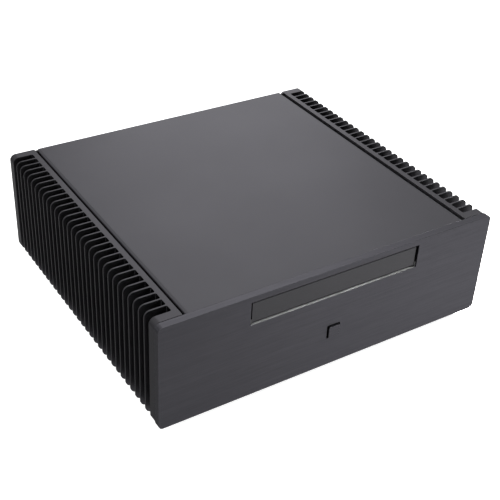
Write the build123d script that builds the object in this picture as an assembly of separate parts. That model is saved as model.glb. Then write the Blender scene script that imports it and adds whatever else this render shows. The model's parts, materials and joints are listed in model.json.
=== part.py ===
from build123d import *
import math
import os

# ---------------------------------------------------------------------------
# Low-profile, passively cooled computer case.
# Working coordinates in millimetres: X to the right, Y back from the outer
# face of the front plate, Z up from the lower edge of the front plate.
# save() moves everything to the stored frame: origin under the middle of the
# object, on the plane the feet stand on.
# ---------------------------------------------------------------------------

# overall
WIDTH = 343.2            # front plate
PLATE_H = 105.0          # front plate height
PLATE_T = 7.0            # front plate thickness
PLATE_R = 4.5            # rounding of the plate's corners
EDGE_C = 0.1             # broken edge of the plate's outline
HALF_W = WIDTH / 2

# finned side heatsinks
HS_Y0 = PLATE_T + 0.35   # a fine seam behind the plate
HS_Y1 = 307.6
HS_X0 = 146.2            # inner face
HS_X1 = HALF_W - 0.3     # fin tips, a little inside the plate's edge
FIN_R = 5.5              # rounding of the fins' outer corners
HS_BASE = 5.1            # wall that carries the fins
FINS = 30
FIN_PITCH = 9.168
FIN_T = 1.5
FIN_GAP = FIN_PITCH - FIN_T
FIRST_GAP = (HS_Y0 + HS_Y1) / 2 - (FINS * FIN_PITCH + FIN_GAP) / 2 - 0.475
ROOT_R = 1.5

# top cover
COVER_HW = 143.6
COVER_T = 2.0
COVER_R = 2.7            # outer fold radius of its long edges
COVER_Z = 104.75          # top face, a little below the edge of the plate
COVER_Y0 = 7.1
COVER_Y1 = 307.3
COVER_DROP = 99.5        # height of the lower edge of its side webs
TONGUE_HW = 125.0

# base and rear
SHEET = 2.0
BASE_Z0 = 1.0
BASE_HW = 146.0
REAR_Y0 = 303.9
REAR_Y1 = 305.9

# long opening in the plate and the flap in it
OPEN_HW = 87.15
OPEN_Z0 = 76.0
OPEN_Z1 = 99.0
DOOR_HW = 85.15
DOOR_Y0 = 1.6
DOOR_T = 2.4
DOOR_Z1 = 97.0
HINGE_Y = DOOR_Y0 + DOOR_T / 2
HINGE_Z = 77.5
HINGE_PIN_R = 0.6
HINGE_BORE_R = 0.65

# power button
BTN_Z = 37.6
BTN_HOLE = 13.8
BTN_CAP = 11.2
BTN_PROUD = 1.7
BTN_FLANGE = 15.8
BTN_TRAVEL = 0.9

# feet
FOOT_H = 8.0
FOOT_R = 19.0
FOOT_X = 110.0
FOOT_Y = (45.0, 262.0)

# board field: 170 mm square board on four posts
BOARD_X = 85.0           # edge with the sockets
BOARD_Y = 302.4          # rear edge
POSTS = ((6.35, 10.16), (163.83, 33.02), (6.35, 165.10), (163.83, 165.10))
POST_H = 6.5
POST_R = 1.25
POST_TAP = 4.0           # tapped depth from the top

# cooling kit
PIPE_R = 3.0
PIPE_Y = (198.5, 209.5, 220.5, 231.5)
PIPE_WALL_Z = (70.0, 58.0, 46.0, 34.0)
PIPE_WALL_X = 140.5
BLOCK_Z = 25.1
PIPE_END_Y = 92.0

# screws
M3_TAP = 1.25
M3_SHANK = 1.23
M3_CLEAR = 1.7
HEAD_R = 2.75
HEAD_H = 1.5

Y_MIN = -BTN_PROUD
Y_MAX = HS_Y1
Y_MID = (Y_MIN + Y_MAX) / 2

os.makedirs("parts", exist_ok=True)


def save(name, solids):
    """Write one node, moved to the stored frame."""
    items = solids if isinstance(solids, (list, tuple)) else [solids]
    out = []
    for s in items:
        for one in s.solids():
            out.append(Pos(0, -Y_MID, FOOT_H) * one)
    shape = out[0] if len(out) == 1 else Compound(children=out)
    export_step(shape, "parts/%s.step" % name)


def bx(x0, x1, y0, y1, z0, z1):
    return Pos((x0 + x1) / 2, (y0 + y1) / 2, (z0 + z1) / 2) * Box(
        abs(x1 - x0), abs(y1 - y0), abs(z1 - z0)
    )


def cyl(p, d, r, length):
    """Cylinder of radius r from point p along direction d."""
    return Plane(origin=p, z_dir=d) * Cylinder(
        r, length, align=(Align.CENTER, Align.CENTER, Align.MIN)
    )


def along_y(sk, y0, y1):
    """Extrude a sketch drawn in X and Z from y0 to y1."""
    pl = Plane(origin=(0, y1, 0), x_dir=(1, 0, 0), z_dir=(0, -1, 0))
    return extrude(pl * sk, amount=y1 - y0)


def along_x(sk, x0, x1):
    """Extrude a sketch drawn in Y and Z from x0 to x1."""
    pl = Plane(origin=(x0, 0, 0), x_dir=(0, 1, 0), z_dir=(1, 0, 0))
    return extrude(pl * sk, amount=x1 - x0)


def along_z(sk, z0, z1):
    return extrude(Plane.XY.offset(z0) * sk, amount=z1 - z0)


def strip(pts, t, ri):
    """Cross-section of a folded sheet of thickness t along a mid-line, inner bend radius ri."""
    n = len(pts)
    left, right, rl, rr = [], [], [], []
    for i in range(n):
        if i == 0:
            d0 = d1 = _dir(pts[0], pts[1])
        elif i == n - 1:
            d0 = d1 = _dir(pts[n - 2], pts[n - 1])
        else:
            d0, d1 = _dir(pts[i - 1], pts[i]), _dir(pts[i], pts[i + 1])
        n0, n1 = (-d0[1], d0[0]), (-d1[1], d1[0])
        k = 1 + n0[0] * n1[0] + n0[1] * n1[1]
        m = ((n0[0] + n1[0]) / k, (n0[1] + n1[1]) / k)
        left.append((pts[i][0] + m[0] * t / 2, pts[i][1] + m[1] * t / 2))
        right.append((pts[i][0] - m[0] * t / 2, pts[i][1] - m[1] * t / 2))
        if 0 < i < n - 1:
            turn = d0[0] * d1[1] - d0[1] * d1[0]
            rl.append(ri if turn > 0 else ri + t)
            rr.append(ri + t if turn > 0 else ri)
    a = FilletPolyline(*left, radius=rl)
    b = FilletPolyline(*right, radius=rr)
    return make_face([a, b, Line(left[0], right[0]), Line(left[-1], right[-1])])


def _dir(a, b):
    dx, dy = b[0] - a[0], b[1] - a[1]
    length = math.hypot(dx, dy)
    return (dx / length, dy / length)


def screw(p, d, length, head_r=HEAD_R, head_h=HEAD_H, shank=M3_SHANK, socket=True):
    """Round-head screw: the head sits on point p, the shank runs along d."""
    v = Vector(*d)
    back = (p[0] - v.X * head_h, p[1] - v.Y * head_h, p[2] - v.Z * head_h)
    head = cyl(back, d, head_r, head_h)
    rim = head.edges().filter_by(GeomType.CIRCLE).sort_by(
        lambda e: (e.center() - Vector(*back)).length
    )[0]
    head = fillet(rim, head_h * 0.4)
    if socket:
        hexa = extrude(
            Plane(origin=back, z_dir=d) * RegularPolygon(head_r * 0.42, 6), amount=head_h * 0.6
        )
        head = head - hexa
    return head + cyl(p, d, shank, length)


def hole(p, d, r, length):
    return cyl(p, d, r, length)


def cut(body, tools):
    for t in tools:
        body = body - t
    return body


# ---------------------------------------------------------------------------
# front plate
# ---------------------------------------------------------------------------
outline = Pos(0, PLATE_H / 2) * RectangleRounded(WIDTH, PLATE_H, PLATE_R)
plate = along_y(outline, 0, PLATE_T)
plate = chamfer(plate.faces().sort_by(Axis.Y)[0].outer_wire().edges(), EDGE_C)
plate = chamfer(plate.faces().sort_by(Axis.Y)[-1].outer_wire().edges(), 0.3)

opening = Pos(0, (OPEN_Z0 + OPEN_Z1) / 2) * RectangleRounded(
    2 * OPEN_HW, OPEN_Z1 - OPEN_Z0, 0.5
)
btn_hole = Pos(0, BTN_Z) * RectangleRounded(BTN_HOLE, BTN_HOLE, 0.9)
plate = plate - along_y(opening, -1, PLATE_T + 1) - along_y(btn_hole, -1, PLATE_T + 1)
# break the front edges of both cut-outs
for w in plate.faces().sort_by(Axis.Y)[0].inner_wires():
    plate = chamfer(w.edges(), 0.2)
# groove behind the top edge that takes the cover's tongue
plate = plate - bx(
    -TONGUE_HW - 0.6, TONGUE_HW + 0.6, 4.5, PLATE_T + 1,
    COVER_Z - 2 * COVER_T - 0.1, COVER_Z - COVER_T + 0.1,
)
# relief in the sill for the flap's spring
plate = plate - bx(-82.2, -76.2, 3.0, PLATE_T + 1, 64.0, OPEN_Z0 + 0.5)

plate_taps = []
for sx in (-1, 1):
    for z in (28, 70):
        plate_taps.append((sx * 136.0, z))
    for z in (60, 80):
        plate_taps.append((sx * 94.0, z))
    plate_taps.append((sx * 15.0, BTN_Z))
    plate_taps.append((sx * 90.0, 8.5))
plate_taps.append((0.0, 8.5))
plate = cut(plate, [hole((x, PLATE_T, z), (0, -1, 0), M3_TAP, 4.5) for x, z in plate_taps])
save("front_panel", plate)

# ---------------------------------------------------------------------------
# heatsinks: a comb extruded upright, its outer corners rounded over the ends
# ---------------------------------------------------------------------------
sec = Pos((HS_X0 + HS_X1) / 2, PLATE_H / 2) * Rectangle(HS_X1 - HS_X0, PLATE_H)
sec = fillet(sec.vertices().group_by(Axis.X)[-1], FIN_R)
bar = along_y(sec, HS_Y0, HS_Y1)
ends = [
    e
    for e in bar.faces().sort_by(Axis.Y)[-1].edges()
    if e.center().X > HS_X0 + 0.5
]
bar = chamfer(ends, 0.5)
gaps = Sketch()
for k in range(FINS + 1):
    yc = FIRST_GAP + FIN_GAP / 2 + k * FIN_PITCH
    gaps += Pos(HS_X0 + HS_BASE + 15, yc) * RectangleRounded(30, FIN_GAP, ROOT_R)
comb_r = bar - along_z(gaps, -1, PLATE_H + 1)
comb_l = mirror(comb_r, about=Plane.YZ)

hs_taps = [(60, 9.5), (155, 9.5), (250, 9.5), (40, 88), (155, 88), (270, 88)]
hs_taps += [(17, 36), (17, 62), (292, 36), (292, 62)]
CLAMP_BOLTS = [(97, 40), (97, 64), (173, 40), (173, 64)]
comb_l = cut(comb_l, [hole((-HS_X0, y, z), (-1, 0, 0), M3_TAP, 4.5) for y, z in hs_taps])
comb_r = cut(
    comb_r, [hole((HS_X0, y, z), (1, 0, 0), M3_TAP, 4.5) for y, z in hs_taps + CLAMP_BOLTS]
)
save("heatsink_left", comb_l)
save("heatsink_right", comb_r)

# ---------------------------------------------------------------------------
# top cover: flat top, side webs down into the grooves, tongue in front, lip behind
# ---------------------------------------------------------------------------
COVER_U = COVER_Z - COVER_T      # underside
LIP_Y1 = REAR_Y0 - 0.1
cover = bx(-COVER_HW, COVER_HW, COVER_Y0, COVER_Y1, COVER_U, COVER_Z)
for sx in (-1, 1):
    cover += bx(sx * (COVER_HW - COVER_T), sx * COVER_HW, 12, 298, COVER_DROP, COVER_U)
cover += bx(-138, 138, LIP_Y1 - COVER_T, LIP_Y1, 92, COVER_U)
cover += bx(-TONGUE_HW, TONGUE_HW, 4.6, 20, COVER_U - COVER_T, COVER_U)
fold = Pos(0, COVER_Z - 30) * Rectangle(2 * COVER_HW, 60)
fold = fillet(fold.vertices().group_by(Axis.Y)[-1], COVER_R)
cover = cover & along_y(fold, 0, 320)
COVER_BOLTS = (-100.0, 0.0, 100.0)
cover = chamfer(
    [
        e
        for e in cover.edges().filter_by(Axis.X)
        if e.center().Y > COVER_Y1 - 0.01 and e.center().Z > COVER_Z - 0.01
    ],
    0.3,
)
cover = cut(cover, [hole((x, LIP_Y1 + 1, 97.5), (0, -1, 0), M3_TAP, 4) for x in COVER_BOLTS])
save("top_cover", cover)
save("cover_screws", [screw((x, REAR_Y1, 97.5), (0, -1, 0), 5.6) for x in COVER_BOLTS])

# ---------------------------------------------------------------------------
# base plate: one folded sheet
# ---------------------------------------------------------------------------
base = bx(-BASE_HW, BASE_HW, 7.1, REAR_Y0, BASE_Z0, BASE_Z0 + SHEET)
for sx in (-1, 1):
    base += bx(sx * (BASE_HW - SHEET), sx * BASE_HW, 28, 286, BASE_Z0 + SHEET, 16)
base += bx(-110, 110, 7.1, 7.1 + SHEET, BASE_Z0 + SHEET, 14)
base += bx(96, 128, REAR_Y0 - SHEET, REAR_Y0, BASE_Z0 + SHEET, 14)
base += bx(-128, -117, REAR_Y0 - SHEET, REAR_Y0, BASE_Z0 + SHEET, 14)
folds_out = [
    e
    for e in base.edges().filter_by(Axis.Y)
    if abs(abs(e.center().X) - BASE_HW) < 0.01 and abs(e.center().Z - BASE_Z0) < 0.01
]
base = fillet(folds_out, 1.8)
folds_in = [
    e
    for e in base.edges().filter_by(Axis.Y)
    if abs(abs(e.center().X) - (BASE_HW - SHEET)) < 0.01
    and abs(e.center().Z - BASE_Z0 - SHEET) < 0.01
    and e.length > 200
]
base = fillet(folds_in, 0.8)
slots = Sketch()
for i in range(21):
    for yc in (162, 206, 250):
        slots += Pos(-75 + 7.5 * i, yc) * SlotOverall(36, 3, rotation=90)
base = base - along_z(slots, 0, 4)
post_xy = [(BOARD_X - u, BOARD_Y - v) for u, v in POSTS]
DRIVE_PATTERN = [(sx * 30.86, 75 + sy * 38.3) for sx in (-1, 1) for sy in (-1, 1)]
RACK_FEET = [(sx * 80.0, y) for sx in (-1, 1) for y in (34, 116)]
feet_xy = [(sx * FOOT_X, y) for sx in (-1, 1) for y in FOOT_Y]
holes = [hole((x, y, 0), (0, 0, 1), M3_TAP, 4) for x, y in post_xy + RACK_FEET + feet_xy]
holes += [hole((x, y, 0), (0, 0, 1), M3_CLEAR, 4) for x, y in DRIVE_PATTERN]
holes += [
    hole((sx * (BASE_HW + 1), y, 9.5), (-sx, 0, 0), M3_CLEAR, 4)
    for sx in (-1, 1)
    for y in (60, 155, 250)
]
holes += [hole((x, 6, 8.5), (0, 1, 0), M3_CLEAR, 4) for x in (-90, 0, 90)]
holes += [hole((x, REAR_Y0 - 3, 9), (0, 1, 0), M3_TAP, 4) for x in (112, -122.5)]
base = cut(base, holes)
save("base_plate", base)
save(
    "base_screws",
    [
        screw((sx * (BASE_HW - SHEET), y, 9.5), (sx, 0, 0), 5.6)
        for sx in (-1, 1)
        for y in (60, 155, 250)
    ],
)
save("panel_screws", [screw((x, 7.1 + SHEET, 8.5), (0, -1, 0), 5.6) for x in (-90, 0, 90)])

# ---------------------------------------------------------------------------
# rear panel
# ---------------------------------------------------------------------------
SLOT_X = (-86.0, -106.3)
INLET = (108.0, 32.0)
ANTENNA = ((118.0, 78.0), (-123.0, 78.0))
rear = bx(-145.9, 145.9, REAR_Y0, REAR_Y1, BASE_Z0, COVER_U - 0.15)
for sx in (-1, 1):  # ears that close the ends of the grooves beside the cover
    rear += bx(sx * (COVER_HW + 0.25), sx * 145.9, REAR_Y0, REAR_Y1, 90, 104.3)
io = Pos((84.5 - 74.25) / 2, (7.3 + 51.75) / 2) * RectangleRounded(158.75, 44.45, 1.0)
win = Sketch() + io
for x in SLOT_X:
    win += Pos(x, 47) * RectangleRounded(12.9, 66, 0.8)
for i in range(23):
    win += Pos(-66 + 6.5 * i, 71) * SlotOverall(24, 3, rotation=90)
for x, z in ANTENNA:
    win += Pos(x, z) * Circle(3.25)
win += Pos(*INLET) * Circle(4.1)
for sx in (-1, 1):
    for z in (28, 70):
        win += Pos(sx * 136, z) * Circle(M3_CLEAR)
for x in (112, -122.5):
    win += Pos(x, 9) * Circle(M3_CLEAR)
for x in SLOT_X:
    win += Pos(x, 84) * Circle(M3_CLEAR)
for x in COVER_BOLTS:
    win += Pos(x, 97.5) * Circle(M3_CLEAR)
rear = rear - along_y(win, REAR_Y0 - 1, REAR_Y1 + 1)
save("rear_panel", rear)
save(
    "rear_panel_screws",
    [screw((sx * 136, REAR_Y1, z), (0, -1, 0), 4.8) for sx in (-1, 1) for z in (28, 70)]
    + [screw((x, REAR_Y1, 9), (0, -1, 0), 4.0) for x in (112, -122.5)],
)
for i, x in enumerate(SLOT_X):
    blank = bx(x - 9.2, x + 9.2, REAR_Y0 - 1.1, REAR_Y0 - 0.1, 10, 88)
    blank = fillet(blank.edges().filter_by(Axis.Y), 1.0)
    blank = blank - hole((x, REAR_Y0 - 2, 84), (0, 1, 0), M3_TAP, 3)
    save("slot_cover_%d" % (i + 1), blank)
save("slot_cover_screws", [screw((x, REAR_Y1, 84), (0, -1, 0), 3.4) for x in SLOT_X])

# ---------------------------------------------------------------------------
# angles in the four corners and rails under the cover's edges
# ---------------------------------------------------------------------------
def corner(front):
    """Right-hand corner angle."""
    if front:
        pts = [(HS_X0 - 1.5, 22), (HS_X0 - 1.5, PLATE_T + 1.5), (130.5, PLATE_T + 1.5)]
    else:
        pts = [(HS_X0 - 1.5, 287), (HS_X0 - 1.5, REAR_Y0 - 1.5), (130.5, REAR_Y0 - 1.5)]
    c = along_z(strip(pts, 3.0, 0.5), 18, 80)
    ys = 17 if front else 292
    tools = [hole((HS_X0 - 4, ys, z), (1, 0, 0), M3_CLEAR, 5) for z in (36, 62)]
    if front:
        tools += [hole((136, PLATE_T - 1, z), (0, 1, 0), M3_CLEAR, 5) for z in (28, 70)]
    else:
        tools += [hole((136, REAR_Y0 - 4, z), (0, 1, 0), M3_TAP, 5) for z in (28, 70)]
    return cut(c, tools)


for nm, front in (("front", True), ("rear", False)):
    c = corner(front)
    save("corner_bar_%s_right" % nm, c)
    save("corner_bar_%s_left" % nm, mirror(c, about=Plane.YZ))
bar_screws = []
for sx in (-1, 1):
    for z in (36, 62):
        bar_screws.append(screw((sx * (HS_X0 - 3), 17, z), (sx, 0, 0), 7.0))
        bar_screws.append(screw((sx * (HS_X0 - 3), 292, z), (sx, 0, 0), 7.0))
    for z in (28, 70):
        bar_screws.append(screw((sx * 136, PLATE_T + 3, z), (0, -1, 0), 7.0))
save("bar_screws", bar_screws)

rail = along_y(strip([(134.2, 98.4), (145.2, 98.4), (145.2, 82.9)], 2.0, 0.4), 12, 298)
rail = cut(rail, [hole((142, y, 88), (1, 0, 0), M3_CLEAR, 7) for y in (40, 155, 270)])
save("side_rail_right", rail)
save("side_rail_left", mirror(rail, about=Plane.YZ))
save(
    "rail_screws",
    [
        screw((sx * (HS_X0 - SHEET), y, 88), (sx, 0, 0), 6.0)
        for sx in (-1, 1)
        for y in (40, 155, 270)
    ],
)

# ---------------------------------------------------------------------------
# feet: turned bodies with a rubber ring let into the underside
# ---------------------------------------------------------------------------
foot = cyl((0, 0, -7), (0, 0, 1), FOOT_R, 8)
foot = chamfer(foot.edges().filter_by(GeomType.CIRCLE).sort_by(Axis.Z)[0], 1.0)
foot = foot - cyl((0, 0, -8), (0, 0, 1), 16.0, 2.5) - cyl((0, 0, -6), (0, 0, 1), 3.4, 3.0)
foot = foot - cyl((0, 0, -4), (0, 0, 1), M3_CLEAR, 6)
groove = Pos(0, 0, -3) * (Cylinder(FOOT_R + 1, 1.2) - Cylinder(FOOT_R - 0.8, 1.2))
foot = foot - groove
pad = cyl((0, 0, -8), (0, 0, 1), 15.9, 2.5) - cyl((0, 0, -9), (0, 0, 1), 5.0, 5)
pad = fillet(pad.edges().filter_by(GeomType.CIRCLE).sort_by(Axis.Z)[:2], 0.5)
for i, (x, y) in enumerate(feet_xy):
    save("foot_%d" % (i + 1), Pos(x, y, 0) * foot)
    save("foot_pad_%d" % (i + 1), Pos(x, y, 0) * pad)
save("foot_screws", [screw((x, y, -3), (0, 0, 1), 5.8) for x, y in feet_xy])

# ---------------------------------------------------------------------------
# flap over the drive, hinged along its lower edge
# ---------------------------------------------------------------------------
r_edge = DOOR_T / 2
door_sec = (
    Pos(HINGE_Y, (HINGE_Z + DOOR_Z1) / 2) * Rectangle(DOOR_T, DOOR_Z1 - HINGE_Z)
    + Pos(HINGE_Y, HINGE_Z) * Circle(r_edge)
)
door = along_x(door_sec, -DOOR_HW, DOOR_HW)
door = chamfer(
    [e for e in door.edges().filter_by(Axis.X) if e.center().Z > DOOR_Z1 - 0.1], 0.5
)
for sx in (-1, 1):
    door = door - hole((sx * (DOOR_HW + 1), HINGE_Y, HINGE_Z), (-sx, 0, 0), HINGE_PIN_R, 7.0)
ARM_SCREW_Z = (83.0, 87.5)
for z in ARM_SCREW_Z:
    door = door - hole((-80.5, DOOR_Y0 + DOOR_T, z), (0, -1, 0), 0.8, 1.7)
save("drive_door", door)
save(
    "hinge_pins",
    [cyl((sx * (DOOR_HW - 5.9), HINGE_Y, HINGE_Z), (sx, 0, 0), HINGE_PIN_R, 7.55) for sx in (-1, 1)],
)

arm_y = DOOR_Y0 + DOOR_T
arm = along_x(strip([(arm_y + 0.5, 90), (arm_y + 0.5, 79), (12.6, 79)], 1.0, 0.4), -83.0, -78.0)
arm = arm - hole((-79.2, 10.9, 77), (0, 0, 1), 0.5, 4)
for z in ARM_SCREW_Z:
    arm = arm - hole((-80.5, arm_y - 1, z), (0, 1, 0), 1.1, 4)
save("door_arm", arm)
save(
    "arm_screws",
    [
        screw((-80.5, arm_y + 1, z), (0, -1, 0), 2.5, head_r=1.7, head_h=1.0, shank=0.78, socket=False)
        for z in ARM_SCREW_Z
    ],
)


def hinge_bracket(anchor):
    """Left-hand bracket behind the plate; its ear reaches forward beside the flap."""
    b = bx(-99, -85, 7, 8.5, 52, 84)
    ear = Pos(0, 0) * (
        Pos((1.1 + 8.5) / 2, (76.35 + 81) / 2) * Rectangle(7.4, 81 - 76.35)
    )
    b += along_x(ear, -86.85, -85.35)
    if anchor:
        b += bx(-85, -76.5, 7, 8.5, 52, 58)
        b += bx(-82, -76.5, 8.5, 13.5, 53.5, 55)
        b = b - hole((-79.2, 10.9, 52), (0, 0, 1), 0.5, 5)
    b = b - hole((-88, HINGE_Y, HINGE_Z), (1, 0, 0), HINGE_BORE_R, 5)
    b = cut(b, [hole((-94, 6, z), (0, 1, 0), M3_CLEAR, 4) for z in (60, 80)])
    return b


save("hinge_bracket_left", hinge_bracket(True))
save("hinge_bracket_right", mirror(hinge_bracket(False), about=Plane.YZ))
save(
    "hinge_screws",
    [screw((sx * 94, 8.5, z), (0, -1, 0), 5.6) for sx in (-1, 1) for z in (60, 80)],
)

# extension spring between the flap's arm and the bracket, legs with upset ends
SPR_X, SPR_Y, SPR_R, SPR_W = -80.5, 10.9, 1.3, 0.22
SPR_Z0, SPR_TURNS, SPR_PITCH = 57.0, 22, 0.82
coil_path = Helix(SPR_PITCH, SPR_TURNS * SPR_PITCH, SPR_R)
start = coil_path @ 0
coil = sweep(
    Plane(origin=start, z_dir=coil_path % 0) * Circle(SPR_W), path=coil_path, is_frenet=True
)
spring = Pos(SPR_X, SPR_Y, SPR_Z0) * coil
top = SPR_Z0 + SPR_TURNS * SPR_PITCH
spring += cyl((SPR_X + SPR_R, SPR_Y, SPR_Z0 - 4.3), (0, 0, 1), SPR_W, 4.3)
spring += cyl((SPR_X + SPR_R, SPR_Y, top), (0, 0, 1), SPR_W, 80.2 - top)
spring += Pos(SPR_X + SPR_R, SPR_Y, SPR_Z0 - 4.3) * Sphere(0.6)
spring += Pos(SPR_X + SPR_R, SPR_Y, 80.2) * Sphere(0.6)
save("door_spring", spring)

# ---------------------------------------------------------------------------
# power button, its spring, guide and switch
# ---------------------------------------------------------------------------
cap = along_y(Pos(0, BTN_Z) * RectangleRounded(BTN_CAP, BTN_CAP, 0.8), -BTN_PROUD, PLATE_T + 0.3)
cap = chamfer(cap.faces().sort_by(Axis.Y)[0].edges(), 0.25)
cap += along_y(
    Pos(0, BTN_Z) * RectangleRounded(BTN_FLANGE, BTN_FLANGE, 1.2), PLATE_T + 0.05, PLATE_T + 1.25
)
cap += cyl((0, PLATE_T + 1.2, BTN_Z), (0, 1, 0), 1.5, 12.0 - PLATE_T - 1.2)
save("power_button", cap)

house = bx(-12, 12, PLATE_T, 17, BTN_Z - 13, BTN_Z + 13)
house = fillet(house.edges().filter_by(Axis.Y), 1.5)
house += bx(-18.5, 18.5, PLATE_T, PLATE_T + 2, BTN_Z - 4, BTN_Z + 4)
house = house - along_y(
    Pos(0, BTN_Z) * RectangleRounded(BTN_FLANGE + 0.5, BTN_FLANGE + 0.5, 1.3), PLATE_T - 1, 13
)
house = house - bx(-3.5, 3.5, 12, 18, BTN_Z - 3.5, BTN_Z + 3.5)
house = cut(house, [hole((sx * 15, 6, BTN_Z), (0, 1, 0), M3_CLEAR, 5) for sx in (-1, 1)])
BOARD_BOLTS = [(-9.8, BTN_Z + 10.8), (9.8, BTN_Z - 10.8)]
house = cut(house, [hole((x, 17, z), (0, -1, 0), 0.8, 6) for x, z in BOARD_BOLTS])
save("button_housing", house)
save(
    "housing_screws",
    [screw((sx * 15, PLATE_T + 2, BTN_Z), (0, -1, 0), 5.6) for sx in (-1, 1)]
    + [
        screw((x, 18.6, z), (0, -1, 0), 6.0, head_r=1.7, head_h=1.1, shank=0.78, socket=False)
        for x, z in BOARD_BOLTS
    ],
)
b_path = Helix(1.25, 4.0, 5.7)
b_coil = sweep(
    Plane(origin=b_path @ 0, z_dir=b_path % 0) * Circle(0.3), path=b_path, is_frenet=True
)
b_spring = Plane(origin=(0, 8.63, BTN_Z), z_dir=(0, 1, 0)) * b_coil
save("button_spring", b_spring)
board = bx(-12, 12, 17, 18.6, BTN_Z - 13, BTN_Z + 13)
board = cut(board, [hole((x, 16, z), (0, 1, 0), 1.1, 4) for x, z in BOARD_BOLTS])
save("switch_board", board)
tact = bx(-3, 3, 13.8, 17, BTN_Z - 3, BTN_Z + 3)
tact += cyl((0, 13.0, BTN_Z), (0, 1, 0), 1.7, 1.0)
save("tact_switch", tact)

# ---------------------------------------------------------------------------
# shelf for a slim drive behind the flap
# ---------------------------------------------------------------------------
rack = along_y(
    strip(
        [(-86, 3.75), (-72.75, 3.75), (-72.75, 72.25), (72.75, 72.25), (72.75, 3.75), (86, 3.75)],
        1.5,
        1.2,
    ),
    22,
    128,
)
rack_win = Sketch()
for yc in (42, 75, 108):
    rack_win += Pos(yc, 38) * RectangleRounded(20, 30, 3)
rack = rack - along_x(rack_win, -80, 80)
rack_slots = Sketch()
for sx in (-1, 1):
    for yc in (40, 110):
        rack_slots += Pos(sx * 58, yc) * SlotOverall(14, 3.4)
rack = rack - along_z(rack_slots, 70, 75)
rack = cut(rack, [hole((x, y, 2), (0, 0, 1), M3_CLEAR, 4) for x, y in RACK_FEET])
save("drive_rack", rack)
save("rack_screws", [screw((x, y, 4.5), (0, 0, -1), 3.3) for x, y in RACK_FEET])

# ---------------------------------------------------------------------------
# board posts
# ---------------------------------------------------------------------------
posts = []
for x, y in post_xy:
    z0 = BASE_Z0 + SHEET
    p = Pos(x, y, z0) * extrude(RegularPolygon(3.0, 6, major_radius=True), amount=POST_H)
    p = p - hole((x, y, z0 + POST_H - POST_TAP), (0, 0, 1), POST_R, POST_TAP + 1)
    posts.append(p - hole((x, y, z0 - 1), (0, 0, 1), POST_R, 3.0))
save("board_posts", posts)
save(
    "post_screws",
    [screw((x, y, BASE_Z0), (0, 0, 1), 3.8, head_r=2.4, head_h=0.8, shank=M3_SHANK, socket=False) for x, y in post_xy],
)

# ---------------------------------------------------------------------------
# cooling kit: contact block, four bent heat pipes, seat and clamp on the right wall
# ---------------------------------------------------------------------------
pipes = []
for y, zw in zip(PIPE_Y, PIPE_WALL_Z):
    path = FilletPolyline(
        (-8, y, BLOCK_Z),
        (60, y, BLOCK_Z),
        (110, y, zw),
        (PIPE_WALL_X, y, zw),
        (PIPE_WALL_X, PIPE_END_Y, zw),
        radius=18,
    )
    tube = sweep(Plane(origin=path @ 0, z_dir=path % 0) * Circle(PIPE_R), path=path)
    pipes.append(tube)
    print("heat pipe length %.1f volume %.1f expected %.1f" % (path.length, tube.volume, path.length * math.pi * PIPE_R ** 2))
for i, t in enumerate(pipes):
    save("heat_pipe_%d" % (i + 1), t)

BX0, BX1, BY0, BY1 = -12.0, 52.0, 187.0, 243.0
BLOCK_BOLTS = [(x, y) for x in (-8, 48) for y in (191, 239)]
pipe_cuts = [cyl((BX0 - 1, y, BLOCK_Z), (1, 0, 0), PIPE_R + 0.02, 66) for y in PIPE_Y]
lower = bx(BX0, BX1, BY0, BY1, 18.1, BLOCK_Z)
lower = cut(lower, pipe_cuts + [hole((x, y, 17), (0, 0, 1), M3_TAP, 10) for x, y in BLOCK_BOLTS])
upper = bx(BX0, BX1, BY0, BY1, BLOCK_Z, 32.1)
upper = chamfer(upper.faces().sort_by(Axis.Z)[-1].edges(), 0.8)
upper = cut(upper, pipe_cuts + [hole((x, y, 24), (0, 0, 1), M3_CLEAR, 10) for x, y in BLOCK_BOLTS])
save("cpu_block_base", lower)
save("cpu_block_clamp", upper)
save("block_screws", [screw((x, y, 32.1), (0, 0, -1), 13.0) for x, y in BLOCK_BOLTS])

wall_cuts = [cyl((PIPE_WALL_X, 80, z), (0, 1, 0), PIPE_R + 0.02, 110) for z in PIPE_WALL_Z]
seat = bx(PIPE_WALL_X, HS_X0, 90, 178, 26, 78)
clamp = bx(PIPE_WALL_X - 5, PIPE_WALL_X, 90, 178, 26, 78)
clamp = chamfer(clamp.faces().sort_by(Axis.X)[0].edges(), 0.8)
seat = cut(seat, wall_cuts + [hole((PIPE_WALL_X - 1, y, z), (1, 0, 0), M3_CLEAR, 7) for y, z in CLAMP_BOLTS])
clamp = cut(clamp, wall_cuts + [hole((PIPE_WALL_X - 6, y, z), (1, 0, 0), M3_CLEAR, 7) for y, z in CLAMP_BOLTS])
save("pipe_seat", seat)
save("pipe_clamp", clamp)
save("clamp_screws", [screw((PIPE_WALL_X - 5, y, z), (1, 0, 0), 14.0) for y, z in CLAMP_BOLTS])

# ---------------------------------------------------------------------------
# round low-voltage inlet in the rear panel
# ---------------------------------------------------------------------------
ix, iz = INLET
inlet = cyl((ix, REAR_Y1, iz), (0, 1, 0), 5.5, 1.5)
inlet = chamfer(inlet.faces().sort_by(Axis.Y)[-1].edges(), 0.4)
inlet += cyl((ix, 291.4, iz), (0, 1, 0), 4.0, REAR_Y1 - 291.4)
inlet = inlet - cyl((ix, 294.9, iz), (0, 1, 0), 3.2, 20)
inlet += cyl((ix, 294.4, iz), (0, 1, 0), 1.05, 12.0)
inlet += bx(ix - 0.4, ix + 0.4, 285.4, 291.5, iz - 1.5, iz + 1.5)
inlet += bx(ix - 3.0, ix - 2.2, 286.9, 291.5, iz - 1.2, iz + 1.2)
save("dc_inlet", inlet)
nut = Plane(origin=(ix, REAR_Y0 - 3.0, iz), z_dir=(0, 1, 0)) * (
    extrude(RegularPolygon(6.3, 6), amount=3.0)
)
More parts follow.
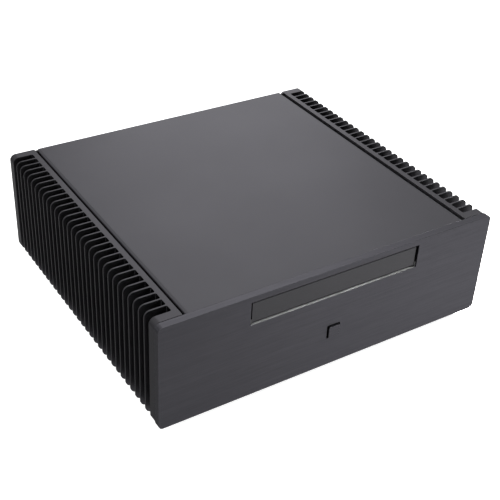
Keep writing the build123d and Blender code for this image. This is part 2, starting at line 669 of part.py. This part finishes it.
nut = nut - cyl((ix, REAR_Y0 - 4, iz), (0, 1, 0), 4.02, 5)
save("dc_inlet_nut", nut)

print("frame: y shift %.3f  z shift %.3f" % (-Y_MID, FOOT_H))
print("fin gap %.3f first gap at %.3f end block %.3f" % (FIN_GAP, FIRST_GAP, FIRST_GAP - HS_Y0))
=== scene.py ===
import json
import math

import bmesh
import bpy
from mathutils import Matrix, Vector


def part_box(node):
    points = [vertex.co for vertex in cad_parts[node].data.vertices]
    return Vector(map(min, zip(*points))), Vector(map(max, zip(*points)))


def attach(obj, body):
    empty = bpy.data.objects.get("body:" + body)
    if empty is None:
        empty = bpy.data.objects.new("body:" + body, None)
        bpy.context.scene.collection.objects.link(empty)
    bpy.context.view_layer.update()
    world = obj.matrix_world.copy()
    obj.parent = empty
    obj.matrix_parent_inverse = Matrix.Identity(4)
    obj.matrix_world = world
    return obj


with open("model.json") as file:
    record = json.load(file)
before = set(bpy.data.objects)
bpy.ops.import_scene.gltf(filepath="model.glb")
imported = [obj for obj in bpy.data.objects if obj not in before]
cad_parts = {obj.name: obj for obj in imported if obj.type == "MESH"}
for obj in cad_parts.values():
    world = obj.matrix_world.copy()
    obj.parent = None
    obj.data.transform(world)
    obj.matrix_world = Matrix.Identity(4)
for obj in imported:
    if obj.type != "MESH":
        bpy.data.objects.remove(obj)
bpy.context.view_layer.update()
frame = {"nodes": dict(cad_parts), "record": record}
nodes = frame["nodes"]


# ---------------------------------------------------------------------------
# small helpers for node materials
# ---------------------------------------------------------------------------
class Mat:
    """A material with one Principled shader and a few ways to wire patterns into it."""

    def __init__(self, name, metallic=1.0, rough=0.4, color=(0.05, 0.05, 0.05), specular=0.5, tint=(1, 1, 1)):
        m = bpy.data.materials.new(name)
        m.use_nodes = True
        self.m = m
        self.nt = m.node_tree
        self.bsdf = next(n for n in self.nt.nodes if n.type == "BSDF_PRINCIPLED")
        self.bsdf.inputs["Metallic"].default_value = metallic
        self.bsdf.inputs["Roughness"].default_value = rough
        self.bsdf.inputs["Base Color"].default_value = (*color, 1.0)
        self.bsdf.inputs["Specular IOR Level"].default_value = specular
        self.bsdf.inputs["Specular Tint"].default_value = (*tint, 1.0)
        self.m.diffuse_color = (*color, 1.0)
        tc = self.nt.nodes.new("ShaderNodeTexCoord")
        self.obj = tc.outputs["Object"]
        self.gen = tc.outputs["Generated"]
        self.nrm = tc.outputs["Normal"]

    def link(self, a, b):
        self.nt.links.new(a, b)

    def mapping(self, src, scale=(1, 1, 1), loc=(0, 0, 0), rot=(0, 0, 0)):
        n = self.nt.nodes.new("ShaderNodeMapping")
        n.inputs["Scale"].default_value = scale
        n.inputs["Location"].default_value = loc
        n.inputs["Rotation"].default_value = rot
        self.link(src, n.inputs["Vector"])
        return n.outputs["Vector"]

    def noise(self, vec, scale, detail=2.0, rough=0.5, distortion=0.0):
        n = self.nt.nodes.new("ShaderNodeTexNoise")
        n.inputs["Scale"].default_value = scale
        n.inputs["Detail"].default_value = detail
        n.inputs["Roughness"].default_value = rough
        n.inputs["Distortion"].default_value = distortion
        self.link(vec, n.inputs["Vector"])
        return n.outputs["Fac"]

    def voronoi(self, vec, scale, feature="F1", distance="EUCLIDEAN"):
        n = self.nt.nodes.new("ShaderNodeTexVoronoi")
        n.feature = feature
        if feature != "DISTANCE_TO_EDGE":
            n.distance = distance
        n.inputs["Scale"].default_value = scale
        self.link(vec, n.inputs["Vector"])
        return n.outputs["Distance"]

    def rings(self, vec, scale, distortion=0.4):
        n = self.nt.nodes.new("ShaderNodeTexWave")
        n.wave_type = "RINGS"
        n.rings_direction = "Z"
        n.inputs["Scale"].default_value = scale
        n.inputs["Distortion"].default_value = distortion
        n.inputs["Detail"].default_value = 2.0
        self.link(vec, n.inputs["Vector"])
        return n.outputs["Fac"]

    def math(self, op, a, b):
        n = self.nt.nodes.new("ShaderNodeMath")
        n.operation = op
        for k, v in enumerate((a, b)):
            if isinstance(v, (int, float)):
                n.inputs[k].default_value = v
            else:
                self.link(v, n.inputs[k])
        return n.outputs["Value"]

    def facing(self, axis):
        """How far the surface faces along one axis: -1 to 1."""
        n = self.nt.nodes.new("ShaderNodeSeparateXYZ")
        self.link(self.nrm, n.inputs["Vector"])
        return n.outputs[axis]

    def faces(self, src, low, high, gain):
        """Scale a colour where a facing value lies between low and high."""
        k = self.remap(src, low, high, 0.0, 1.0)
        n = self.nt.nodes.new("ShaderNodeMix")
        n.data_type = "RGBA"
        n.blend_type = "MULTIPLY"
        self.link(k, n.inputs[0])
        n.inputs[7].default_value = (gain, gain, gain, 1.0)
        return n

    def tone(self, col, src, low, high, gain):
        """Painted light and shade: scale a colour on faces whose facing value lies between low and high."""
        n = self.faces(src, low, high, gain)
        self.link(col, n.inputs[6])
        return n.outputs[2]

    def place(self, axis):
        """Where the surface lies along one axis, in metres."""
        n = self.nt.nodes.new("ShaderNodeSeparateXYZ")
        self.link(self.obj, n.inputs["Vector"])
        return n.outputs[axis]

    def gained(self, col, mask, gain):
        """Multiply a colour by gain where mask is one."""
        k = self.math("ADD", self.math("MULTIPLY", mask, self.math("SUBTRACT", gain, 1.0)), 1.0)
        n = self.nt.nodes.new("ShaderNodeMix")
        n.data_type = "RGBA"
        n.blend_type = "MULTIPLY"
        n.inputs[0].default_value = 1.0
        self.link(col, n.inputs[6])
        self.link(k, n.inputs[7])
        return n.outputs[2]

    def remap(self, fac, lo, hi, out_lo, out_hi):
        n = self.nt.nodes.new("ShaderNodeMapRange")
        n.inputs["From Min"].default_value = lo
        n.inputs["From Max"].default_value = hi
        n.inputs["To Min"].default_value = out_lo
        n.inputs["To Max"].default_value = out_hi
        self.link(fac, n.inputs["Value"])
        return n.outputs["Result"]

    def ramp(self, fac, stops):
        n = self.nt.nodes.new("ShaderNodeValToRGB")
        el = n.color_ramp.elements
        while len(el) < len(stops):
            el.new(0.5)
        for e, (p, c) in zip(el, stops):
            e.position = p
            e.color = (*c, 1.0)
        self.link(fac, n.inputs["Fac"])
        return n.outputs["Color"]

    def mix(self, fac, a, b):
        n = self.nt.nodes.new("ShaderNodeMix")
        n.data_type = "RGBA"
        if isinstance(fac, (int, float)):
            n.inputs[0].default_value = fac
        else:
            self.link(fac, n.inputs[0])
        for socket, v in ((n.inputs[6], a), (n.inputs[7], b)):
            if isinstance(v, tuple):
                socket.default_value = (*v, 1.0)
            else:
                self.link(v, socket)
        return n.outputs[2]

    def color(self, src):
        self.link(src, self.bsdf.inputs["Base Color"])

    def rough(self, src):
        self.link(src, self.bsdf.inputs["Roughness"])

    def bump(self, height, distance, strength=1.0, normal=None):
        n = self.nt.nodes.new("ShaderNodeBump")
        n.inputs["Strength"].default_value = strength
        n.inputs["Distance"].default_value = distance
        self.link(height, n.inputs["Height"])
        if normal is not None:
            self.link(normal, n.inputs["Normal"])
        return n.outputs["Normal"]

    def soft_edge(self, radius, samples=4):
        n = self.nt.nodes.new("ShaderNodeBevel")
        n.samples = samples
        n.inputs["Radius"].default_value = radius
        return n.outputs["Normal"]

    def normal(self, src):
        self.link(src, self.bsdf.inputs["Normal"])


def scaled(c, k):
    return tuple(min(1.0, x * k) for x in c)


# anodised skins do not brighten towards grazing angles as much as bare metal
SKIN = (0.5, 0.5, 0.5)


def blasted(name, color, rough, grain=2600.0, bump=0.000012, edge=0.00025, tint=0.05, streak=None, painted_flat_light=None, painted_side_light=None, painted_front_light=None, painted_edge_light=None, painted_fold_light=None):
    """Fine-blasted, anodised aluminium: tiny grain, faint clouds in the colour."""
    s = Mat(name, 1.0, rough, color, tint=SKIN)
    fine = s.noise(s.obj, grain, 3.0, 0.6)
    cloud = s.noise(s.obj, 11.0, 4.0, 0.55)
    speck = s.noise(s.obj, grain * 0.42, 2.0, 0.5)
    base = s.ramp(cloud, [(0.30, scaled(color, 1 - tint)), (0.70, scaled(color, 1 + tint))])
    col = s.mix(s.remap(speck, 0.35, 0.65, 0.0, 0.5), base, scaled(color, 1.16))
    height = fine
    if streak is not None:
        lines = s.noise(s.mapping(s.obj, streak), 1.0, 3.0, 0.55)
        col = s.mix(s.remap(lines, 0.40, 0.66, 0.0, 0.55), col, scaled(color, 0.80))
        height = s.math("ADD", s.math("MULTIPLY", fine, 0.6), s.math("MULTIPLY", lines, 0.9))
    if painted_flat_light is not None:
        # painted light and shade: faces turned up or down are scaled by the gain
        col = s.tone(col, s.math("ABSOLUTE", s.facing("Z"), 0.0), 0.80, 0.95, painted_flat_light)
    if painted_side_light is not None:
        # painted light and shade on faces turned left and right
        turned_out = s.remap(s.math("ABSOLUTE", s.facing("X"), 0.0), 0.60, 0.90, 0.0, 1.0)
        if isinstance(painted_side_light, tuple):  # painted light on the groove wall, painted shade on the walls between the fins and on the outer faces
            away = s.math("ABSOLUTE", s.place("X"), 0.0)
            inner, root, outer = painted_side_light
            painted_side_light = s.math("ADD", s.remap(away, 0.1464, 0.1466, inner, root), s.remap(away, 0.1529, 0.1533, 0.0, outer - root))
        col = s.gained(col, turned_out, painted_side_light)
    if painted_front_light is not None:
        # painted light on front faces at the left end, painted shade at the right end, the gain running between the
        # two values
        ahead = s.remap(s.facing("Y"), -0.60, -0.90, 0.0, 1.0)
        col = s.gained(col, ahead, s.remap(s.place("X"), -0.1, 0.1, *painted_front_light))
    if painted_fold_light is not None:  # painted light on the folded edges that face left and right
        col = s.gained(col, s.remap(s.facing("X"), -0.05, -0.45, 0.0, 1.0), painted_fold_light[0])
        col = s.gained(col, s.remap(s.facing("X"), 0.60, 0.90, 0.0, 1.0), painted_fold_light[1])
    if painted_edge_light is not None:  # painted highlight on the sloped upper edge and on the narrow top behind it
        up = s.facing("Z")
        sloped = s.math("MULTIPLY", s.remap(up, 0.50, 0.60, 0.0, 1.0), s.remap(up, 0.85, 0.92, 1.0, 0.0))
        col = s.gained(col, sloped, painted_edge_light[0])
        col = s.gained(col, s.remap(up, 0.85, 0.92, 0.0, 1.0), painted_edge_light[1])
    s.color(col)
    s.rough(s.remap(speck, 0.3, 0.7, rough - 0.035, rough + 0.045))
    s.normal(s.bump(height, bump, 1.0, s.soft_edge(edge) if edge else None))
    return s.m


def brushed(name, color, rough, axes, bump=0.000010, edge=0.0003, depth=0.22, metallic=1.0, painted_flat_light=None, painted_side_light=None, painted_rim_light=None):
    """Brushed metal: long scratches. axes is how tight the pattern is along X, Y and Z, per metre."""
    s = Mat(name, metallic, rough, color, tint=SKIN)
    hair = s.noise(s.mapping(s.obj, axes), 1.0, 4.0, 0.65)
    wide = s.noise(s.mapping(s.obj, tuple(a * 0.23 for a in axes), (3.1, 1.7, 0.4)), 1.0, 3.0, 0.5)
    cloud = s.noise(s.obj, 9.0, 3.0, 0.5)
    both = s.math("ADD", s.math("MULTIPLY", hair, 0.62), s.math("MULTIPLY", wide, 0.38))
    col = s.ramp(both, [(0.34, scaled(color, 1 - depth)), (0.50, color), (0.66, scaled(color, 1 + depth * 1.15))])
    col = s.mix(s.remap(cloud, 0.35, 0.7, 0.0, 0.12), col, scaled(color, 0.72))
    if painted_flat_light is not None:
        # painted light and shade on faces turned up or down, the gain falling from the left end to the right end
        flat = s.remap(s.math("ABSOLUTE", s.facing("Z"), 0.0), 0.80, 0.95, 0.0, 1.0)
        col = s.gained(col, flat, s.remap(s.place("X"), -0.15, 0.15, painted_flat_light * 1.12, painted_flat_light * 0.90))
    if painted_side_light is not None:
        # painted light and shade: faces turned left and right are scaled by the gain
        col = s.tone(col, s.math("ABSOLUTE", s.facing("X"), 0.0), 0.60, 0.90, painted_side_light)
    if painted_rim_light is not None:  # painted light and shade on the broken long edges: front edge from left to right, rear edge
        up = s.facing("Z")
        sloped = s.math("MULTIPLY", s.remap(up, 0.45, 0.55, 0.0, 1.0), s.remap(up, 0.85, 0.92, 1.0, 0.0))
        ahead = s.remap(s.facing("Y"), 0.1, -0.1, 0.0, 1.0)
        left, right, rear = painted_rim_light
        col = s.gained(col, s.math("MULTIPLY", sloped, ahead), s.remap(s.place("X"), -0.15, 0.10, left, right))
        col = s.gained(col, s.math("MULTIPLY", sloped, s.math("SUBTRACT", 1.0, ahead)), rear)
        # painted shade: faces turned down are darkened almost to black
        col = s.gained(col, s.remap(up, -0.45, -0.55, 0.0, 1.0), 0.06)
    s.color(col)
    s.rough(s.remap(both, 0.32, 0.68, rough + 0.06, rough - 0.05))
    s.normal(s.bump(both, bump, 1.0, s.soft_edge(edge) if edge else None))
    return s.m


def coated(name, color, rough=0.5, peel=900.0, bump=0.00003, edge=0.0003, gloss=0.5):
    """Powder coat: slight orange peel."""
    s = Mat(name, 0.0, rough, color, gloss)
    a = s.noise(s.obj, peel, 3.0, 0.55)
    b = s.noise(s.obj, peel * 3.3, 2.0, 0.5)
    h = s.math("ADD", s.math("MULTIPLY", a, 0.7), s.math("MULTIPLY", b, 0.3))
    s.color(s.ramp(h, [(0.35, scaled(color, 0.82)), (0.65, scaled(color, 1.22))]))
    s.rough(s.remap(a, 0.3, 0.7, rough - 0.06, rough + 0.07))
    s.normal(s.bump(h, bump, 1.0, s.soft_edge(edge)))
    return s.m


def moulded(name, color, rough=0.5, grain=1800.0, bump=0.000014, edge=0.0003):
    """Moulded plastic with a spark-eroded skin."""
    s = Mat(name, 0.0, rough, color)
    a = s.voronoi(s.obj, grain)
    b = s.noise(s.obj, grain * 0.35, 3.0, 0.6)
    cloud = s.noise(s.obj, 60.0, 2.0, 0.5)
    s.color(s.ramp(s.math("ADD", s.math("MULTIPLY", b, 0.5), s.math("MULTIPLY", cloud, 0.5)),
                   [(0.35, scaled(color, 0.8)), (0.65, scaled(color, 1.25))]))
    s.rough(s.remap(b, 0.3, 0.7, rough - 0.05, rough + 0.08))
    s.normal(s.bump(a, bump, 1.0, s.soft_edge(edge)))
    return s.m


def turned(name, color, rough, turns=90.0, edge=0.0004):
    """Turned aluminium: fine rings about the piece's own upright axis."""
    s = Mat(name, 1.0, rough, color, tint=SKIN)
    centred = s.mapping(s.gen, (1, 1, 0), (-0.5, -0.5, 0))
    rings = s.rings(centred, turns, 0.6)
    fine = s.noise(s.obj, 2600.0, 2.0, 0.5)
    h = s.math("ADD", s.math("MULTIPLY", rings, 0.7), s.math("MULTIPLY", fine, 0.3))
    s.color(s.ramp(h, [(0.2, scaled(color, 0.84)), (0.8, scaled(color, 1.16))]))
    s.rough(s.remap(fine, 0.3, 0.7, rough - 0.04, rough + 0.05))
    s.normal(s.bump(h, 0.00001, 1.0, s.soft_edge(edge)))
    return s.m


def bare(name, color, rough, stains, dark, axes=(700.0, 700.0, 700.0), bump=0.000008, edge=0.0002, painted_end_shade=None):
    """Bare metal: tool marks and a slight tarnish."""
    s = Mat(name, 1.0, rough, color)
    marks = s.noise(s.mapping(s.obj, axes), 1.0, 4.0, 0.6)
    blot = s.noise(s.obj, stains, 4.0, 0.6, 0.6)
    col = s.ramp(marks, [(0.34, scaled(color, 0.86)), (0.66, scaled(color, 1.08))])
    col = s.mix(s.remap(blot, 0.48, 0.78, 0.0, 0.55), col, dark)
    if painted_end_shade is not None:  # painted shade, darker towards the right-hand end
        col = s.gained(col, s.remap(s.place("X"), 0.0, 0.085, 0.0, 1.0), painted_end_shade)
    s.color(col)
    s.rough(s.remap(blot, 0.35, 0.7, rough - 0.03, rough + 0.12))
    s.normal(s.bump(marks, bump, 1.0, s.soft_edge(edge) if edge else None))
    return s.m


def laminate(name):
    """Solder-masked board: copper lines show faintly under the mask, with small pads."""
    s = Mat(name, 0.0, 0.32, (0.02, 0.10, 0.05))
    flat = s.mapping(s.obj, (1, 0, 1))
    lines = s.voronoi(flat, 420.0, "F1", "CHEBYCHEV")
    edge = s.remap(lines, 0.40, 0.44, 0.0, 1.0)
    weave = s.noise(s.obj, 1500.0, 2.0, 0.5)
    col = s.mix(edge, (0.012, 0.085, 0.040), (0.020, 0.135, 0.062))
    s.color(s.mix(s.remap(weave, 0.4, 0.7, 0.0, 0.25), col, (0.010, 0.060, 0.030)))
    s.rough(s.remap(weave, 0.3, 0.7, 0.26, 0.40))
    s.normal(s.bump(edge, 0.00003, 1.0, s.soft_edge(0.0002)))
    return s.m


def rubber(name):
    s = Mat(name, 0.0, 0.8, (0.022, 0.022, 0.023))
    a = s.noise(s.obj, 1400.0, 4.0, 0.65)
    dust = s.noise(s.obj, 40.0, 5.0, 0.6)
    s.color(s.mix(s.remap(dust, 0.5, 0.8, 0.0, 0.5),
                  s.ramp(a, [(0.35, (0.018, 0.018, 0.019)), (0.65, (0.030, 0.030, 0.031))]), (0.05, 0.048, 0.045)))
    s.rough(s.remap(a, 0.3, 0.7, 0.72, 0.9))
    s.normal(s.bump(a, 0.00003, 1.0, s.soft_edge(0.0004)))
    return s.m


ALONG_X = (45.0, 2600.0, 2600.0)
ALONG_Z = (2200.0, 2200.0, 9.0)

FINISH = {
    # the facing and place gains below paint light and shade onto the front panel, cover, heatsinks and door
    "front_anodised": brushed("front_anodised", (0.0205, 0.0201, 0.0227), 0.40, ALONG_X, depth=0.12, edge=0.00006, painted_flat_light=1.85, painted_rim_light=(3.0, 0.1, 0.35)),
    "cover_anodised": blasted("cover_anodised", (0.0352, 0.0346, 0.0379), 0.40, painted_fold_light=(1.45, 2.0)),
    "heatsink_anodised": blasted("heatsink_anodised", (0.0330, 0.0323, 0.0353), 0.40, streak=ALONG_Z, painted_flat_light=1.08, painted_side_light=(5.0, 0.15, 0.60), painted_front_light=(1.2, 0.35)),
    "door_anodised": blasted("door_anodised", (0.0173, 0.0171, 0.0181), 0.36, grain=3200.0, bump=0.000005, edge=0.0001, painted_edge_light=(1.6, 2.0)),
    "button_anodised": brushed("button_anodised", (0.0195, 0.0191, 0.0216), 0.38, ALONG_X, edge=0.0002, depth=0.12),
    "chassis_anodised": blasted("chassis_anodised", (0.034, 0.034, 0.036), 0.42),
    "rear_anodised": blasted("rear_anodised", (0.037, 0.0365, 0.040), 0.44),
    "foot_anodised": turned("foot_anodised", (0.040, 0.040, 0.042), 0.34),
    "black_steel": coated("black_steel", (0.013, 0.013, 0.0135), rough=0.6, gloss=0.12),
    "bright_steel": bare("bright_steel", (0.55, 0.55, 0.56), 0.24, 120.0, (0.30, 0.29, 0.28)),
    "black_screws": bare("black_screws", (0.060, 0.060, 0.063), 0.34, 300.0, (0.030, 0.028, 0.027)),
    "brass_posts": bare("brass_posts", (0.72, 0.56, 0.28), 0.26, 200.0, (0.42, 0.30, 0.14), (400.0, 400.0, 3000.0)),
    "copper_block": bare("copper_block", (0.70, 0.40, 0.28), 0.28, 45.0, (0.36, 0.17, 0.11), (30.0, 1800.0, 1800.0)),
    "pipe_copper": bare("pipe_copper", (0.66, 0.64, 0.61), 0.22, 60.0, (0.46, 0.42, 0.37)),
    "black_plastic": moulded("black_plastic", (0.028, 0.028, 0.029)),
    "circuit_board": laminate("circuit_board"),
    "foot_rubber": rubber("foot_rubber"),
}
# the liner's right-hand end takes painted shade
LINER = bare("satin_liner", (0.215, 0.218, 0.215), 0.55, 90.0, (0.24, 0.245, 0.24), (30.0, 2400.0, 2400.0), edge=0.00003, painted_end_shade=0.52)

slot_of = {p["node"]: p["material_slot"] for p in frame["record"]["subparts"]}
for name, o in nodes.items():
    finish = FINISH[slot_of[name]]
    if not o.material_slots:
        o.data.materials.append(finish)
    for s in o.material_slots:
        s.material = finish

# ---------------------------------------------------------------------------
# thin satin liner on the sill of the long opening, under the flap
# ---------------------------------------------------------------------------
def sill_liner():
    plate_lo, plate_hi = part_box("front_panel")
    face = plate_lo.y if hasattr(plate_lo, "y") else plate_lo[1]
    base = plate_lo.z if hasattr(plate_lo, "z") else plate_lo[2]
    sill = base + 0.0760
    half, front, back, thick, r = 0.0863, 0.00035, 0.00295, 0.0002, 0.00006
    # cross-section in Y and Z, its long edges rounded
    prof = [(face + front, sill + 0.000003)]
    for k in range(5):
        t = math.pi / 2 * k / 4
        prof.append((face + front + r - r * math.cos(t), sill + thick - r + r * math.sin(t)))
    for k in range(5):
        t = math.pi / 2 * (1 - k / 4)
        prof.append((face + back - r + r * math.cos(t), sill + thick - r + r * math.sin(t)))
    prof.append((face + back, sill + 0.000003))
    bm = bmesh.new()
    rows = []
    n = 24
    for i in range(n + 1):
        x = -half + 2 * half * i / n
        rows.append([bm.verts.new((x, y, z)) for y, z in prof])
    m = len(prof)
    for a, b in zip(rows, rows[1:]):
        for j in range(m):
            bm.faces.new((a[j], a[(j + 1) % m], b[(j + 1) % m], b[j]))
    bm.faces.new(rows[0][::-1])
    bm.faces.new(rows[-1])
    bmesh.ops.recalc_face_normals(bm, faces=bm.faces)
    mesh = bpy.data.meshes.new("sill_liner")
    bm.to_mesh(mesh)
    bm.free()
    mesh.materials.append(LINER)
    o = bpy.data.objects.new("sill_liner", mesh)
    bpy.context.scene.collection.objects.link(o)
    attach(o, "case")
    return o


sill_liner()

# ---------------------------------------------------------------------------
# floor, light, camera
# ---------------------------------------------------------------------------
floor_mesh = bpy.data.meshes.new("floor")
R = 9.0
floor_mesh.from_pydata([(-R, -R, 0), (R, -R, 0), (R, R, 0), (-R, R, 0)], [], [(0, 1, 2, 3)])
floor = bpy.data.objects.new("floor", floor_mesh)
bpy.context.scene.collection.objects.link(floor)
fm = Mat("floor_sheet", 0.0, 0.9, (0.60, 0.60, 0.60), 0.2)
tone = fm.noise(fm.obj, 3.0, 2.0, 0.5)
fm.color(fm.ramp(tone, [(0.3, (0.59, 0.59, 0.59)), (0.7, (0.61, 0.61, 0.61))]))
# the sheet is lit from below as well, as on a light table
fm.bsdf.inputs["Emission Color"].default_value = (1.0, 1.0, 1.0, 1.0)
fm.bsdf.inputs["Emission Strength"].default_value = 0.78
floor_mesh.materials.append(fm.m)

world = bpy.data.worlds.new("studio")
bpy.context.scene.world = world
world.use_nodes = True
bg = next(n for n in world.node_tree.nodes if n.type == "BACKGROUND")
bg.inputs["Color"].default_value = (1.0, 1.0, 1.0, 1.0)
bg.inputs["Strength"].default_value = 1.6


def softbox(name, at, aim, size, power, size_y=None, spread=180.0):
    data = bpy.data.lights.new(name, "AREA")
    data.shape = "RECTANGLE"
    data.size = size
    data.size_y = size_y or size
    data.energy = power
    data.spread = math.radians(spread)
    o = bpy.data.objects.new(name, data)
    o.location = at
    o.rotation_mode = "QUATERNION"
    o.rotation_quaternion = (Vector(aim) - Vector(at)).to_track_quat("-Z", "Y")
    bpy.context.scene.collection.objects.link(o)
    return o


softbox("softbox_low", (1.3, -0.5, 0.8), (0.18, -0.24, 0.0), 0.25, 4.3, spread=24.5)
softbox("softbox_back", (1.24, 2.06, 1.05), (0.0, 0.0, 0.05), 1.2, 31.0)

cam_data = bpy.data.cameras.new("camera")
cam_data.sensor_width = 36.0
cam_data.lens = 71.044
cam_data.shift_x = 0.0014
cam_data.shift_y = 0.0021
cam_data.clip_start = 0.01
cam_data.clip_end = 50.0
cam = bpy.data.objects.new("camera", cam_data)
cam.matrix_world = Matrix((
    (0.84593947, 0.26834513, -0.46084412, -0.44008),
    (-0.53148195, 0.49512413, -0.68729836, -0.67159),
    (0.04374187, 0.82634314, 0.56146564, 0.58271),
    (0, 0, 0, 1),
))
bpy.context.scene.collection.objects.link(cam)
bpy.context.scene.camera = cam

bpy.context.scene.view_settings.view_transform = "Standard"
